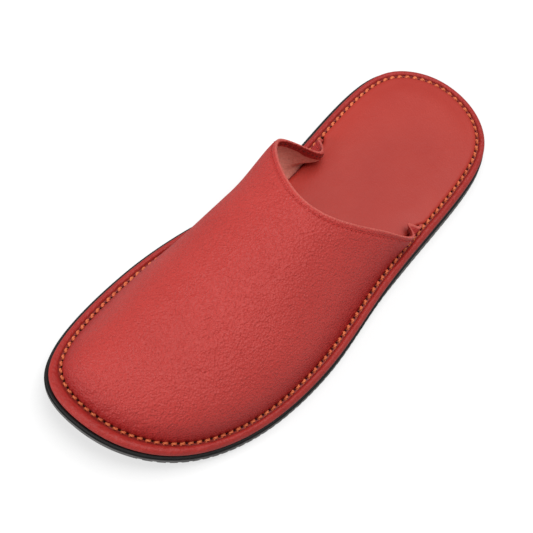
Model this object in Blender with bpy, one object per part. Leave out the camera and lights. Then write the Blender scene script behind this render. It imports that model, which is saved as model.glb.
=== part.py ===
"""A flat leather house slipper (a mule) for the left foot, standing empty on its sole.

Axes: the toe points to -Y, the heel to +Y, the inner side of the foot is -X and +Z is up.
The origin is on the floor, below the middle of the sole.
"""

import bmesh
import bpy
import numpy as np

# Sole sizes, in metres
SOLE_LENGTH = 0.285
BALL_WIDTH = 0.1123
TOE_SPRING = 0.0153
TOE_SPRING_RUN = 0.078
FRONT_THICKNESS = 0.0066
HEEL_WEDGE = 0.0020
ARCH_RISE = 0.0030
SIDE_STEP = 0.0007
SIDE_BAND_HEIGHT = 0.0028
SOLE_EDGE_BEVEL = 0.0008

# Tread grooves across the sole
TREAD_PITCH = 0.0045
TREAD_GROOVE = 0.0016
TREAD_DEPTH = 0.0012
TREAD_END = 0.0090

# Leather-wrapped midsole with its rolled rim
MEDIAL_LEDGE = 0.0028
LATERAL_LEDGE = 0.0004
RIM_WIDTH = 0.0038
TOE_RIM_EXTRA = 0.0026
RIM_HEIGHT = 0.0050
RIM_UNDERCUT = 0.0008
RIM_CENTRE_HEIGHT = 0.0022
PLATFORM_HEIGHT = 0.0029
SEAM_GROOVE = 0.0014

# Padded insole
INSOLE_EDGE = 0.0026
INSOLE_ROUND = 0.0030
INSOLE_CROWN = 0.0008
INSOLE_CROWN_INSET = 0.0120
INSOLE_WIDENING_RUN = 0.0240

# Upper
UPPER_WALL = 0.0016
HEM_WIDTH = 0.0060
HEM_STEP = 0.0007
TOE_HEIGHT = 0.0268
INSTEP_HEIGHT = 0.0477
TOE_CAP_LENGTH = 0.0435
VAMP_LENGTH = 0.1418
SIDE_LENGTH = 0.1985
RIDGE_SHIFT = -0.0064
MEDIAL_TUCK_DEPTH = 0.0075
MEDIAL_TUCK_LENGTH = 0.0095
MEDIAL_TUCK_FROM_END = 0.0145
LATERAL_TUCK_DEPTH = 0.0070
LATERAL_TUCK_LENGTH = 0.0045
LATERAL_TUCK_FROM_END = 0.0090

CLEARANCE = 0.0003

# Outline of the sole. Shares of its length from the toe tip, and of the ball width
# from the middle line to the inner (medial) and the outer (lateral) edge.
TIP_ACROSS = -0.095
HEEL_ACROSS = -0.07
OUTLINE = (
    # along, medial, lateral
    (0.03, -0.349, 0.168),
    (0.12, -0.458, 0.386),
    (0.26, -0.497, 0.494),
    (0.42, -0.454, 0.492),
    (0.58, -0.377, 0.417),
    (0.76, -0.410, 0.362),
    (0.90, -0.415, 0.300),
    (0.97, -0.304, 0.177),
)

# How far each side of the upper swells past a plain arch, or leans in from it where the share
# is negative, at stations along its side.
# Shares of the side's length from the toe seam, and of the ball width.
SWELL = (
    # along, medial, lateral
    (0.00, 0.00, 0.00),
    (0.20, -0.09, 0.03),
    (0.43, -0.03, -0.03),
    (0.65, 0.16, -0.16),
    (0.83, 0.33, -0.06),
    (0.93, 0.02, 0.19),
    (1.00, 0.05, 0.08),
)

# Forms of the upper: how fast its ridge climbs, how full its arch is, how round its throat runs
# into the inner and the outer side, and between which shares of the arch the tucks set in.
CLIMB_POWER = 0.77
ARCH_POWER = 0.965
MEDIAL_THROAT_POWER = 1.12
LATERAL_THROAT_POWER = 0.925
TUCK_LOW, TUCK_FULL = 0.05, 0.16

# Where the wedge and the arch begin and end, as shares of the sole length from the toe tip
WEDGE_FROM, WEDGE_TO = 0.30, 0.75
ARCH_FROM, ARCH_TO = 0.40, 0.66

# Fineness of the meshes
SIDE_POINTS = 48
UPPER_ROWS = 32
HEM_ROWS = 2
UPPER_COLUMNS = 36
RIM_STEPS = 6
SPAN_POINTS = 40
EDGE_POINTS = 400


def material(name, color, roughness):
    made = bpy.data.materials.new(name)
    made.use_nodes = True
    shader = made.node_tree.nodes["Principled BSDF"]
    shader.inputs["Base Color"].default_value = (*color, 1.0)
    shader.inputs["Roughness"].default_value = roughness
    shader.inputs["Metallic"].default_value = 0.0
    return made


def add_object(name, verts, faces, finish):
    mesh = bpy.data.meshes.new(name)
    mesh.from_pydata([tuple(v) for v in verts], [], faces)
    shaped = bmesh.new()
    shaped.from_mesh(mesh)
    bmesh.ops.recalc_face_normals(shaped, faces=shaped.faces)
    shaped.to_mesh(mesh)
    shaped.free()
    mesh.shade_smooth()
    mesh.set_sharp_from_angle(angle=np.radians(40))
    made = bpy.data.objects.new(name, mesh)
    if finish is not None:
        mesh.materials.append(finish)
    bpy.context.scene.collection.objects.link(made)
    return made


def ease(value, start, end):
    share = np.clip((value - start) / (end - start), 0, 1)
    return share * share * (3 - 2 * share)


def cubic(t, start, end, leave, arrive):
    """Cubic piece from start to end at t from 0 to 1, with a slope at each end."""
    return ((1 + 2 * t) * (1 - t) ** 2 * start + t * (1 - t) ** 2 * leave
            + t * t * (3 - 2 * t) * end - t * t * (1 - t) * arrive)


def closed_spline(points, per_span):
    """Smooth closed curve through the points, per_span points on each of its spans."""
    points = np.array(points)
    count = len(points)
    after = np.linalg.norm(np.roll(points, -1, 0) - points, axis=1) ** 0.6
    before = np.roll(after, 1)
    spans = np.roll(points, -1, 0) - points
    system = np.diag(2 * (before + after))
    for i in range(count):
        system[i, i - 1] += after[i]
        system[i, (i + 1) % count] += before[i]
    pull_after = (before / after)[:, None] * spans
    pull_before = (after / before)[:, None] * np.roll(spans, 1, 0)
    slopes = np.linalg.solve(system, 3 * (pull_after + pull_before))
    curve = []
    for i in range(count):
        following = (i + 1) % count
        t = np.arange(per_span)[:, None] / per_span
        leave, arrive = slopes[i] * after[i], slopes[following] * after[i]
        curve.append(cubic(t, points[i], points[following], leave, arrive))
    return np.vstack(curve)


def evenly(curve, count):
    """The open curve again, as count points with even steps."""
    steps = np.linalg.norm(np.diff(curve, axis=0), axis=1)
    run = np.concatenate(([0.0], np.cumsum(steps)))
    wanted = np.linspace(0, run[-1], count)
    return np.stack([np.interp(wanted, run, curve[:, axis]) for axis in range(2)], axis=1)


def sole_outline():
    """Dense closed outline from the toe tip along the lateral side, and its outward normals."""
    lateral = [(across, along) for along, medial, across in OUTLINE]
    medial = [(across, along) for along, across, lateral_share in reversed(OUTLINE)]
    points = [(TIP_ACROSS, 0.0)] + lateral + [(HEEL_ACROSS, 1.0)] + medial
    curve = closed_spline(points, SPAN_POINTS)
    low, high = curve.min(axis=0), curve.max(axis=0)
    curve = ((curve - low) / (high - low) - 0.5) * np.array([BALL_WIDTH, SOLE_LENGTH])
    along = np.roll(curve, -1, 0) - np.roll(curve, 1, 0)
    along /= np.linalg.norm(along, axis=1)[:, None]
    outward = np.stack([along[:, 1], -along[:, 0]], axis=1)
    return curve, outward


EDGE, OUTWARD = sole_outline()


def inset_sides(inset, count):
    """Lateral and medial half of the outline moved inwards, both from toe tip to heel."""
    inset = np.broadcast_to(inset, len(EDGE))
    moved = EDGE - OUTWARD * inset[:, None]
    moved = np.roll(moved, -int(np.argmin(moved[:, 1])), axis=0)
    heel = int(np.argmax(moved[:, 1]))
    lateral = moved[:heel + 1]
    medial = np.vstack([moved[heel:], moved[:1]])[::-1]
    return evenly(lateral, count), evenly(medial, count)


def place(share):
    return (share - 0.5) * SOLE_LENGTH


def toe_lift(y):
    share = np.clip((place(0) + TOE_SPRING_RUN - y) / TOE_SPRING_RUN, 0, 1)
    return TOE_SPRING * share ** 2


def sole_bottom(y):
    share = np.clip((y - place(ARCH_FROM)) / (place(ARCH_TO) - place(ARCH_FROM)), 0, 1)
    return toe_lift(y) + ARCH_RISE * np.sin(np.pi * share) ** 2


def sole_top(y):
    return toe_lift(y) + FRONT_THICKNESS + HEEL_WEDGE * ease(y, place(WEDGE_FROM), place(WEDGE_TO))


def ring_solid(name, rings, finish):
    """Solid through rings that each give an inset of the outline and a height over y."""
    verts = []
    faces = []
    size = 2 * SIDE_POINTS
    for inset, height in rings:
        lateral, medial = inset_sides(inset, SIDE_POINTS + 1)
        loop = np.vstack([lateral, medial[-2:0:-1]])
        verts.extend((x, y, height(y)) for x, y in loop)
    for ring in range(len(rings) - 1):
        for i in range(size):
            j = (i + 1) % size
            low, high = ring * size, (ring + 1) * size
            faces.append((low + i, low + j, high + j, high + i))
    for base in (0, (len(rings) - 1) * size):
        faces.append((base, base + 1, base + size - 1))
        for i in range(1, SIDE_POINTS - 1):
            faces.append((base + i, base + i + 1, base + size - i - 1, base + size - i))
        middle = base + SIDE_POINTS
        faces.append((middle - 1, middle, middle + 1))
    return add_object(name, verts, faces, finish)


def over(surface, rise):
    return lambda y: surface(y) + rise


def build_outsole():
    """Black rubber sole: toe spring, arch, heel wedge, a band set back at its top, tread bars."""
    rings = (
        (SOLE_EDGE_BEVEL, over(sole_bottom, 0)),
        (0, over(sole_bottom, SOLE_EDGE_BEVEL)),
        (0, over(sole_top, -SIDE_BAND_HEIGHT - SIDE_STEP)),
        (SIDE_STEP, over(sole_top, -SIDE_BAND_HEIGHT)),
        (SIDE_STEP, over(sole_top, 0)),
    )
    outsole = ring_solid("outsole", rings, material("black_rubber", (0.022, 0.023, 0.024), 0.62))
    cutter = build_tread_cutter()
    cut = outsole.modifiers.new("tread", "BOOLEAN")
    cut.operation = "DIFFERENCE"
    cut.solver = "EXACT"
    cut.object = cutter
    return outsole


def build_tread_cutter():
    """Bars that follow the underside and cut the grooves across it."""
    verts = []
    faces = []
    pairs = int(SOLE_LENGTH / TREAD_PITCH / 2)
    for step in range(-pairs, pairs + 1):
        y = step * TREAD_PITCH
        if abs(y) > SOLE_LENGTH / 2 - TREAD_END:
            continue
        base = len(verts)
        for side in (-1, 1):
            edge = y + side * TREAD_GROOVE / 2
            top = sole_bottom(edge) + TREAD_DEPTH
            for x in (-BALL_WIDTH, BALL_WIDTH):
                verts.append((x, edge, -TREAD_PITCH))
                verts.append((x, edge, top))
        for corners in ((0, 1, 3, 2), (4, 6, 7, 5), (0, 2, 6, 4), (1, 5, 7, 3), (0, 4, 5, 1), (2, 3, 7, 6)):
            faces.append(tuple(base + corner for corner in corners))
    cutter = add_object("tread_cutter", verts, faces, None)
    cutter.hide_render = True
    cutter.display_type = "WIRE"
    return cutter


def rim_setback():
    """Width of the rubber ledge outside the rim, at each point of the outline."""
    return LATERAL_LEDGE + (MEDIAL_LEDGE - LATERAL_LEDGE) * (1 - OUTWARD[:, 0]) / 2


def rim_width():
    """Width of the rim at each point of the outline, broadest at the toe tip."""
    return RIM_WIDTH + TOE_RIM_EXTRA * np.clip(-OUTWARD[:, 1], 0, 1) ** 2


def build_midsole():
    """Platform wrapped in leather: a rounded rim all round, and a flat floor inside it."""
    crown = RIM_HEIGHT - RIM_CENTRE_HEIGHT
    first = -np.arcsin((RIM_CENTRE_HEIGHT - RIM_UNDERCUT) / crown)
    last = np.pi - np.arcsin((PLATFORM_HEIGHT - RIM_CENTRE_HEIGHT) / crown)
    setback, width = rim_setback(), rim_width()
    rings = [(setback + RIM_UNDERCUT, over(sole_top, CLEARANCE))]
    for turn in np.linspace(first, last, RIM_STEPS + 1):
        inset = setback + width / 2 * (1 - np.cos(turn))
        rings.append((inset, over(sole_top, CLEARANCE + RIM_CENTRE_HEIGHT + crown * np.sin(turn))))
    rings.append((setback + width, over(sole_top, CLEARANCE + PLATFORM_HEIGHT)))
    return ring_solid("midsole", rings, material("rim_leather", (0.44, 0.045, 0.035), 0.5))


def seam_inset():
    return rim_setback() + rim_width() + SEAM_GROOVE


def seam_start():
    """Where the upper's seam begins along Y, at the toe tip."""
    return place(0) + (LATERAL_LEDGE + MEDIAL_LEDGE) / 2 + RIM_WIDTH + TOE_RIM_EXTRA + SEAM_GROOVE


def seam_height(y):
    return sole_top(y) + CLEARANCE + PLATFORM_HEIGHT + CLEARANCE


def build_insole():
    """Padded sock: under the upper it leaves room for the wall, at the heel it fills the floor."""
    end = side_end()
    free = ease(EDGE[:, 1], end + HEM_WIDTH, end + HEM_WIDTH + INSOLE_WIDENING_RUN)
    edge = seam_inset() + (UPPER_WALL + HEM_STEP + CLEARANCE) * (1 - free)
    rings = [(edge, seam_height), (edge, over(seam_height, INSOLE_EDGE / 2))]
    for turn in (0.5, 1.0):
        swing = turn * np.pi / 2
        inset = edge + INSOLE_ROUND * (1 - np.cos(swing))
        rings.append((inset, over(seam_height, INSOLE_EDGE * (0.5 + 0.5 * np.sin(swing)))))
    rings.append((edge + INSOLE_CROWN_INSET, over(seam_height, INSOLE_EDGE + INSOLE_CROWN)))
    return ring_solid("insole", rings, material("insole_leather", (0.47, 0.065, 0.052), 0.45))


def side_end():
    return seam_start() + SIDE_LENGTH


def swell(y, column):
    """Smooth run through one column of the swell table, with no overshoot between its rows."""
    stations = seam_start() + SIDE_LENGTH * np.array([row[0] for row in SWELL])
    amounts = BALL_WIDTH * np.array([row[column] for row in SWELL])
    steps = np.diff(amounts) / np.diff(stations)
    slopes = np.zeros(len(SWELL))
    product = np.clip(steps[:-1] * steps[1:], 0, None)
    slopes[1:-1] = 2 * product / (steps[:-1] + steps[1:])
    span = np.clip(np.searchsorted(stations, y) - 1, 0, len(SWELL) - 2)
    width = stations[span + 1] - stations[span]
    t = np.clip((y - stations[span]) / width, 0, 1)
    return cubic(t, amounts[span], amounts[span + 1], width * slopes[span], width * slopes[span + 1])


def upper_surface(y, angle, depth):
    """Point of the upper. Angle 0 is the medial seam, pi the lateral one, depth is into the wall."""
    lateral, medial = inset_sides(seam_inset() + depth, EDGE_POINTS)
    inner = np.interp(y, medial[:, 1], medial[:, 0])
    outer = np.interp(y, lateral[:, 1], lateral[:, 0])
    tip = lateral[0, 1]
    cap = np.clip((y - tip) / TOE_CAP_LENGTH, 0, 1)
    climb = np.clip((y - tip) / VAMP_LENGTH, 0, 1.5) ** CLIMB_POWER
    height = np.sqrt(1 - (1 - cap) ** 2) * (TOE_HEIGHT + (INSTEP_HEIGHT - TOE_HEIGHT) * climb - depth)
    across, up = np.cos(angle), np.abs(np.sin(angle))
    side_swell = np.where(across > 0, swell(y, 1), swell(y, 2))
    tuck_depth = np.where(across > 0, MEDIAL_TUCK_DEPTH, LATERAL_TUCK_DEPTH)
    tuck_length = np.where(across > 0, MEDIAL_TUCK_LENGTH, LATERAL_TUCK_LENGTH)
    tuck_place = side_end() - np.where(across > 0, MEDIAL_TUCK_FROM_END, LATERAL_TUCK_FROM_END)
    nearness = np.exp(-((y - tuck_place) / tuck_length) ** 2)
    fold = tuck_depth * nearness * ease(up, TUCK_LOW, TUCK_FULL)
    outwards = side_swell * up * across ** 2 - fold
    x = (inner + outer) / 2 - (outer - inner) / 2 * across - np.sign(across) * outwards
    x = x + RIDGE_SHIFT * up ** 3 * cap
    z = seam_height(y) + height * up ** ARCH_POWER
    return np.stack([x, y + 0 * x, z], axis=-1)


def topline(angle):
    """How far back the upper reaches: short over the instep, long at both sides."""
    power = np.where(np.cos(angle) > 0, MEDIAL_THROAT_POWER, LATERAL_THROAT_POWER)
    return side_end() - (SIDE_LENGTH - VAMP_LENGTH) * np.abs(np.sin(angle)) ** power


def hem_run(angle):
    """Length along Y of a band of the hem's width, measured square to the topline."""
    step = 0.001
    before, after = np.clip(angle - step, 0, np.pi), np.clip(angle + step, 0, np.pi)
    edge = upper_surface(topline(after), after, 0) - upper_surface(topline(before), before, 0)
    edge /= np.linalg.norm(edge, axis=-1)[:, None]
    back = (upper_surface(topline(angle), angle, 0) - upper_surface(topline(angle) - step, angle, 0)) / step
    return HEM_WIDTH / np.clip(np.linalg.norm(np.cross(back, edge), axis=-1), 0.5, 1.0)


def build_upper():
    """One hollow wall from the seam groove over the foot, with a folded hem at the topline."""
    share = np.linspace(0, 1, UPPER_COLUMNS + 1)
    angle = np.pi * (share - 0.35 * np.sin(2 * np.pi * share) / (2 * np.pi))
    hem_start = topline(angle) - hem_run(angle)
    middle = hem_start[UPPER_COLUMNS // 2]
    rows = (1 - np.cos(np.pi * np.arange(1, UPPER_ROWS + 1) / UPPER_ROWS)) / 2
    skins = []
    for depth in (0, UPPER_WALL):
        tip = seam_start() + depth
        grid = []
        for row in rows:
            y = tip + (middle - tip) * row + (hem_start - middle) * row ** 3
            grid.append(upper_surface(y, angle, depth))
        hem_depth = depth + HEM_STEP if depth else 0
        if depth:
            grid.append(upper_surface(hem_start, angle, hem_depth))
        for row in range(1, HEM_ROWS + 1):
            y = hem_start + (topline(angle) - hem_start) * row / HEM_ROWS
            grid.append(upper_surface(y, angle, hem_depth))
        skins.append((upper_surface(np.array([tip]), np.array([np.pi / 2]), depth)[0], grid))
    return add_shell("upper", skins, material("upper_leather", (0.46, 0.052, 0.042), 0.42))


def add_shell(name, skins, finish):
    """Closes an outer and an inner grid, whose first row starts from a tip, into one wall."""
    verts = []
    faces = []
    borders = []
    for tip, grid in skins:
        base = len(verts)
        verts.append(tip)
        for row in grid:
            verts.extend(row)
        columns = len(grid[0])
        start = [base + 1 + row * columns for row in range(len(grid))]
        faces.extend((base, start[0] + i, start[0] + i + 1) for i in range(columns - 1))
        for low, high in zip(start, start[1:]):
            faces.extend((low + i, low + i + 1, high + i + 1, high + i) for i in range(columns - 1))
        lateral = [first + columns - 1 for first in start]
        borders.append((base, start, lateral, range(start[-1], start[-1] + columns)))
    (tip_out, medial_out, lateral_out, top_out), (tip_in, medial_in, lateral_in, top_in) = borders
    for outer, inner in ((medial_out, medial_in), (lateral_out, lateral_in)):
        faces.append((tip_out, outer[0], inner[0], tip_in))
        for i in range(UPPER_ROWS - 1):
            faces.append((outer[i], outer[i + 1], inner[i + 1], inner[i]))
        faces.append((outer[UPPER_ROWS - 1], outer[UPPER_ROWS], inner[UPPER_ROWS + 1],
                      inner[UPPER_ROWS], inner[UPPER_ROWS - 1]))
        for i in range(UPPER_ROWS, len(outer) - 1):
            faces.append((outer[i], outer[i + 1], inner[i + 2], inner[i + 1]))
    for i in range(len(top_out) - 1):
        faces.append((top_out[i], top_out[i + 1], top_in[i + 1], top_in[i]))
    return add_object(name, verts, faces, finish)


for leftover in list(bpy.data.objects):
    bpy.data.objects.remove(leftover)

build_outsole()
build_midsole()
build_insole()
build_upper()
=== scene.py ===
import bpy
import numpy as np
from mathutils import Matrix, Vector


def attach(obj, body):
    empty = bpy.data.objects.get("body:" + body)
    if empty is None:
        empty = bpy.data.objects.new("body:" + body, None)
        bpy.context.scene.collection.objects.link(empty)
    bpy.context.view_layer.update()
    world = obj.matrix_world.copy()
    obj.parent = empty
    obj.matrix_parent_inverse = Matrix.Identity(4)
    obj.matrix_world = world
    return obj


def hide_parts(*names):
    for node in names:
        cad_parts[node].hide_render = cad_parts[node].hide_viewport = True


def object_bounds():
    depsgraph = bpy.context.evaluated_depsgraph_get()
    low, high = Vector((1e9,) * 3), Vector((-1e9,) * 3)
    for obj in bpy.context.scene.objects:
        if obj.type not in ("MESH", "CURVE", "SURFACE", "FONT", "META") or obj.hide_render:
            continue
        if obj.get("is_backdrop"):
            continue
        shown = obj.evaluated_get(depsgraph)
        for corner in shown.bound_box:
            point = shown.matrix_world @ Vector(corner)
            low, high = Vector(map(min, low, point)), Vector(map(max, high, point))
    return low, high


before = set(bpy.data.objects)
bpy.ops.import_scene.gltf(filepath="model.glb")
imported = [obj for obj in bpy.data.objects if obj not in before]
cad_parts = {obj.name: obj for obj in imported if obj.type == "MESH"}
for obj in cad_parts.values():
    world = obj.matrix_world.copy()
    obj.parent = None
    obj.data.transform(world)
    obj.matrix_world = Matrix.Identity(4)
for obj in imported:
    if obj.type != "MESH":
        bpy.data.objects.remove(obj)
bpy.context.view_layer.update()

bpy.ops.object.select_all(action="DESELECT")


# The camera
# It stands in front of the shoe and on its outer side, and looks down at 61 degrees. It is
# aimed at one point first and then turned to the shoe by the shortest turn, which sets how far
# the picture is tilted.
CAMERA_PLACE = Vector((0.2174, -0.3283, 0.7483))
FIRST_AIM = Vector((-0.0755, -0.0421, 0.0))
SHOE_MIDDLE = Vector((-0.0025, -0.0158, 0.0217))
CAMERA_LENS = 110

bpy.ops.object.camera_add(location=CAMERA_PLACE)
camera = bpy.context.object
camera.data.lens = CAMERA_LENS
camera.data.clip_start = 0.01
first_look = FIRST_AIM - CAMERA_PLACE
turn_to_shoe = first_look.rotation_difference(SHOE_MIDDLE - CAMERA_PLACE)
camera.rotation_mode = "QUATERNION"
camera.rotation_quaternion = turn_to_shoe @ first_look.to_track_quat("-Z", "Y")
bpy.context.scene.camera = camera


# The rubber sole
# A black rubber unit, glued under the platform, with toe spring, a slight arch and a low heel
# wedge. A darker band is set back at the top of its side, its near-black colour painted shade
# under the rim, and bars cross its tread.
SOLE_LENGTH = 0.285
BALL_WIDTH = 0.1123
TOE_SPRING = 0.0153
TOE_SPRING_RUN = 0.078
FRONT_THICKNESS = 0.0066
HEEL_WEDGE = 0.0020
ARCH_RISE = 0.0030
SIDE_STEP = 0.0007
SIDE_BAND_HEIGHT = 0.0028
SOLE_EDGE_BEVEL = 0.0008
TREAD_PITCH = 0.0045
TREAD_GROOVE = 0.0016
TREAD_DEPTH = 0.0012
TREAD_END = 0.0090
CUTTER_BOTTOM = -0.0100
SIDE_BULGE = 0.0001
BAND_TOP_DROP = 0.0002
BAND_TOP_INSET = 0.0003
BAND_AND_TOP_LOOPS = 8
TIP_ACROSS = -0.095
HEEL_ACROSS = -0.07
OUTLINE = (
    # along, medial, lateral
    (0.03, -0.349, 0.168),
    (0.12, -0.458, 0.386),
    (0.26, -0.497, 0.494),
    (0.42, -0.454, 0.492),
    (0.58, -0.377, 0.417),
    (0.76, -0.410, 0.362),
    (0.90, -0.415, 0.300),
    (0.97, -0.304, 0.177),
)
WEDGE_FROM, WEDGE_TO = 0.30, 0.75
ARCH_FROM, ARCH_TO = 0.40, 0.66
SPAN_POINTS = 80
KNOT_POWER = 0.6
AROUND = 640


def ease(value, start, end):
    share = np.clip((value - start) / (end - start), 0, 1)
    return share * share * (3 - 2 * share)


def cubic(t, start, end, leave, arrive):
    return ((1 + 2 * t) * (1 - t) ** 2 * start + t * (1 - t) ** 2 * leave
            + t * t * (3 - 2 * t) * end - t * t * (1 - t) * arrive)


def closed_spline(points, per_span):
    points = np.array(points)
    count = len(points)
    after = np.linalg.norm(np.roll(points, -1, 0) - points, axis=1) ** KNOT_POWER
    before = np.roll(after, 1)
    spans = np.roll(points, -1, 0) - points
    system = np.diag(2 * (before + after))
    for i in range(count):
        system[i, i - 1] += after[i]
        system[i, (i + 1) % count] += before[i]
    pull_after = (before / after)[:, None] * spans
    pull_before = (after / before)[:, None] * np.roll(spans, 1, 0)
    slopes = np.linalg.solve(system, 3 * (pull_after + pull_before))
    curve = []
    for i in range(count):
        following = (i + 1) % count
        t = np.arange(per_span)[:, None] / per_span
        leave, arrive = slopes[i] * after[i], slopes[following] * after[i]
        curve.append(cubic(t, points[i], points[following], leave, arrive))
    return np.vstack(curve)


def evenly(curve, count):
    steps = np.linalg.norm(np.diff(curve, axis=0), axis=1)
    run = np.concatenate(([0.0], np.cumsum(steps)))
    wanted = np.linspace(0, run[-1], count)
    columns = [np.interp(wanted, run, curve[:, axis]) for axis in range(curve.shape[1])]
    return np.stack(columns, axis=1)


def sole_outline():
    lateral = [(across, along) for along, _, across in OUTLINE]
    medial = [(across, along) for along, across, _ in reversed(OUTLINE)]
    points = [(TIP_ACROSS, 0.0)] + lateral + [(HEEL_ACROSS, 1.0)] + medial
    curve = closed_spline(points, SPAN_POINTS)
    low, high = curve.min(axis=0), curve.max(axis=0)
    curve = ((curve - low) / (high - low) - 0.5) * np.array([BALL_WIDTH, SOLE_LENGTH])
    along = np.roll(curve, -1, 0) - np.roll(curve, 1, 0)
    along /= np.linalg.norm(along, axis=1)[:, None]
    return curve, np.stack([along[:, 1], -along[:, 0]], axis=1)


EDGE, OUTWARD = sole_outline()


def inset_sides(inset, count):
    """Lateral and medial half of the outline moved inwards, both from toe tip to heel."""
    inset = np.broadcast_to(inset, len(EDGE))
    moved = EDGE - OUTWARD * inset[:, None]
    moved = np.roll(moved, -int(np.argmin(moved[:, 1])), axis=0)
    heel = int(np.argmax(moved[:, 1]))
    lateral = moved[:heel + 1]
    medial = np.vstack([moved[heel:], moved[:1]])[::-1]
    return evenly(lateral, count), evenly(medial, count)


def loop_around(inset, height):
    """Closed loop of points at an inset from the outline, at a height over each y."""
    lateral, medial = inset_sides(inset, AROUND // 2 + 1)
    loop = np.vstack([lateral, medial[-2:0:-1]])
    return np.column_stack([loop, height(loop[:, 1])])


def towards_middle(loop, share):
    """The same loop drawn in towards the shoe's middle line, which it reaches at share 0."""
    middle = (loop + np.roll(loop[::-1], 1, axis=0)) / 2
    return middle + (loop - middle) * share


def place(share):
    return (share - 0.5) * SOLE_LENGTH


def toe_lift(y):
    share = np.clip((place(0) + TOE_SPRING_RUN - y) / TOE_SPRING_RUN, 0, 1)
    return TOE_SPRING * share ** 2


def sole_bottom(y):
    share = np.clip((y - place(ARCH_FROM)) / (place(ARCH_TO) - place(ARCH_FROM)), 0, 1)
    return toe_lift(y) + ARCH_RISE * np.sin(np.pi * share) ** 2


def sole_top(y):
    return toe_lift(y) + FRONT_THICKNESS + HEEL_WEDGE * ease(y, place(WEDGE_FROM), place(WEDGE_TO))


def over(surface, rise):
    return lambda y: surface(y) + rise


def pick(piece):
    bpy.ops.object.select_all(action="DESELECT")
    piece.select_set(True)
    bpy.context.view_layer.objects.active = piece


def drawn_through(name, loops):
    """A circle extruded from loop to loop. A first or last loop drawn in fully closes its end."""
    bpy.ops.object.select_all(action="DESELECT")
    bpy.ops.mesh.primitive_circle_add(vertices=len(loops[0]), radius=BALL_WIDTH / 2)
    piece = bpy.context.object
    piece.name = piece.data.name = name
    bpy.ops.object.mode_set(mode="EDIT")
    bpy.ops.mesh.select_all(action="SELECT")
    bpy.ops.mesh.select_mode(type="EDGE")
    for _ in loops[1:]:
        bpy.ops.mesh.extrude_edges_move()
    bpy.ops.object.mode_set(mode="OBJECT")
    piece.data.vertices.foreach_set("co", np.concatenate(loops).ravel())
    piece.data.update()
    return piece


def closed_up(piece):
    """Merges the points that lie on each other and turns the faces outwards."""
    pick(piece)
    bpy.ops.object.mode_set(mode="EDIT")
    bpy.ops.mesh.select_mode(type="VERT")
    bpy.ops.mesh.select_all(action="SELECT")
    bpy.ops.mesh.remove_doubles(threshold=0.000002)
    bpy.ops.mesh.dissolve_degenerate(threshold=0.000001)
    bpy.ops.mesh.select_all(action="SELECT")
    bpy.ops.mesh.normals_make_consistent(inside=False)
    bpy.ops.object.mode_set(mode="OBJECT")


def marked(piece, name, values):
    """A number for each point of the mesh, which a material reads by its name."""
    mark = piece.data.attributes.new(name, "FLOAT", "POINT")
    mark.data.foreach_set("value", np.asarray(values, dtype=np.float32).ravel())


def smooth(piece, degrees):
    pick(piece)
    bpy.ops.object.shade_smooth_by_angle(angle=np.radians(degrees))


def new_finish(name, color, roughness):
    """A material of one colour, and its shader."""
    finish = bpy.data.materials.new(name)
    finish.use_nodes = True
    finish.diffuse_color = (*color, 1)
    shader = finish.node_tree.nodes["Principled BSDF"]
    shader.inputs["Base Color"].default_value = (*color, 1)
    shader.inputs["Roughness"].default_value = roughness
    return finish, shader


def node(finish, kind, wires=None, **settings):
    """Adds a node: settings are its properties, wires its inputs, as values or outputs."""
    made = finish.node_tree.nodes.new(kind)
    for key, value in settings.items():
        setattr(made, key, value)
    for key, value in (wires or {}).items():
        if isinstance(value, bpy.types.NodeSocket):
            finish.node_tree.links.new(value, made.inputs[key])
        else:
            made.inputs[key].default_value = value
    return made


def object_place(finish, scale=(1, 1, 1)):
    where = node(finish, "ShaderNodeTexCoord").outputs["Object"]
    return node(finish, "ShaderNodeMapping", {"Vector": where, "Scale": scale}).outputs["Vector"]


def mixed_colors(finish, share, low, high):
    """Blends from one colour to another, each a colour or the output of a node."""
    ends = [end if isinstance(end, bpy.types.NodeSocket) else (*end, 1) for end in (low, high)]
    wires = {0: share, 6: ends[0], 7: ends[1]}
    return node(finish, "ShaderNodeMix", wires, data_type="RGBA").outputs[2]


def bumped(finish, height, distance, under=None):
    """Bump of a height in metres, over the bump of another one where that is given."""
    wires = {"Height": height, "Distance": distance, "Strength": 1.0}
    if under is not None:
        wires["Normal"] = under
    return node(finish, "ShaderNodeBump", wires).outputs["Normal"]


def wire(finish, output, shader, name):
    finish.node_tree.links.new(output, shader.inputs[name])


def sole_side(share):
    """Height up the side, from its lower edge at share 0 to the foot of the band at 1."""
    return lambda y: ((sole_bottom(y) + SOLE_EDGE_BEVEL) * (1 - share)
                      + (sole_top(y) - SIDE_BAND_HEIGHT - SIDE_STEP) * share)


def outsole_loops():
    bottom = loop_around(SOLE_EDGE_BEVEL, sole_bottom)
    loops = [towards_middle(bottom, share) for share in (0, 0.3, 0.6, 0.9, 1.0)]
    for turn in (0.25, 0.5, 0.75, 1.0):
        inset = SOLE_EDGE_BEVEL * (1 - np.sin(turn * np.pi / 2))
        rise = SOLE_EDGE_BEVEL * (1 - np.cos(turn * np.pi / 2))
        loops.append(loop_around(inset, over(sole_bottom, rise)))
    for share in np.linspace(0.15, 1, 6):
        loops.append(loop_around(SIDE_BULGE * np.sin(np.pi * share), sole_side(share)))
    loops.append(loop_around(SIDE_STEP * 0.3, over(sole_top, -SIDE_BAND_HEIGHT - SIDE_STEP * 0.2)))
    for drop in (SIDE_BAND_HEIGHT, SIDE_BAND_HEIGHT * 0.5, BAND_TOP_DROP):
        loops.append(loop_around(SIDE_STEP, over(sole_top, -drop)))
    top = loop_around(SIDE_STEP + BAND_TOP_INSET, sole_top)
    loops.extend(towards_middle(top, share) for share in (1.0, 0.8, 0.4, 0))
    return loops


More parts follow.
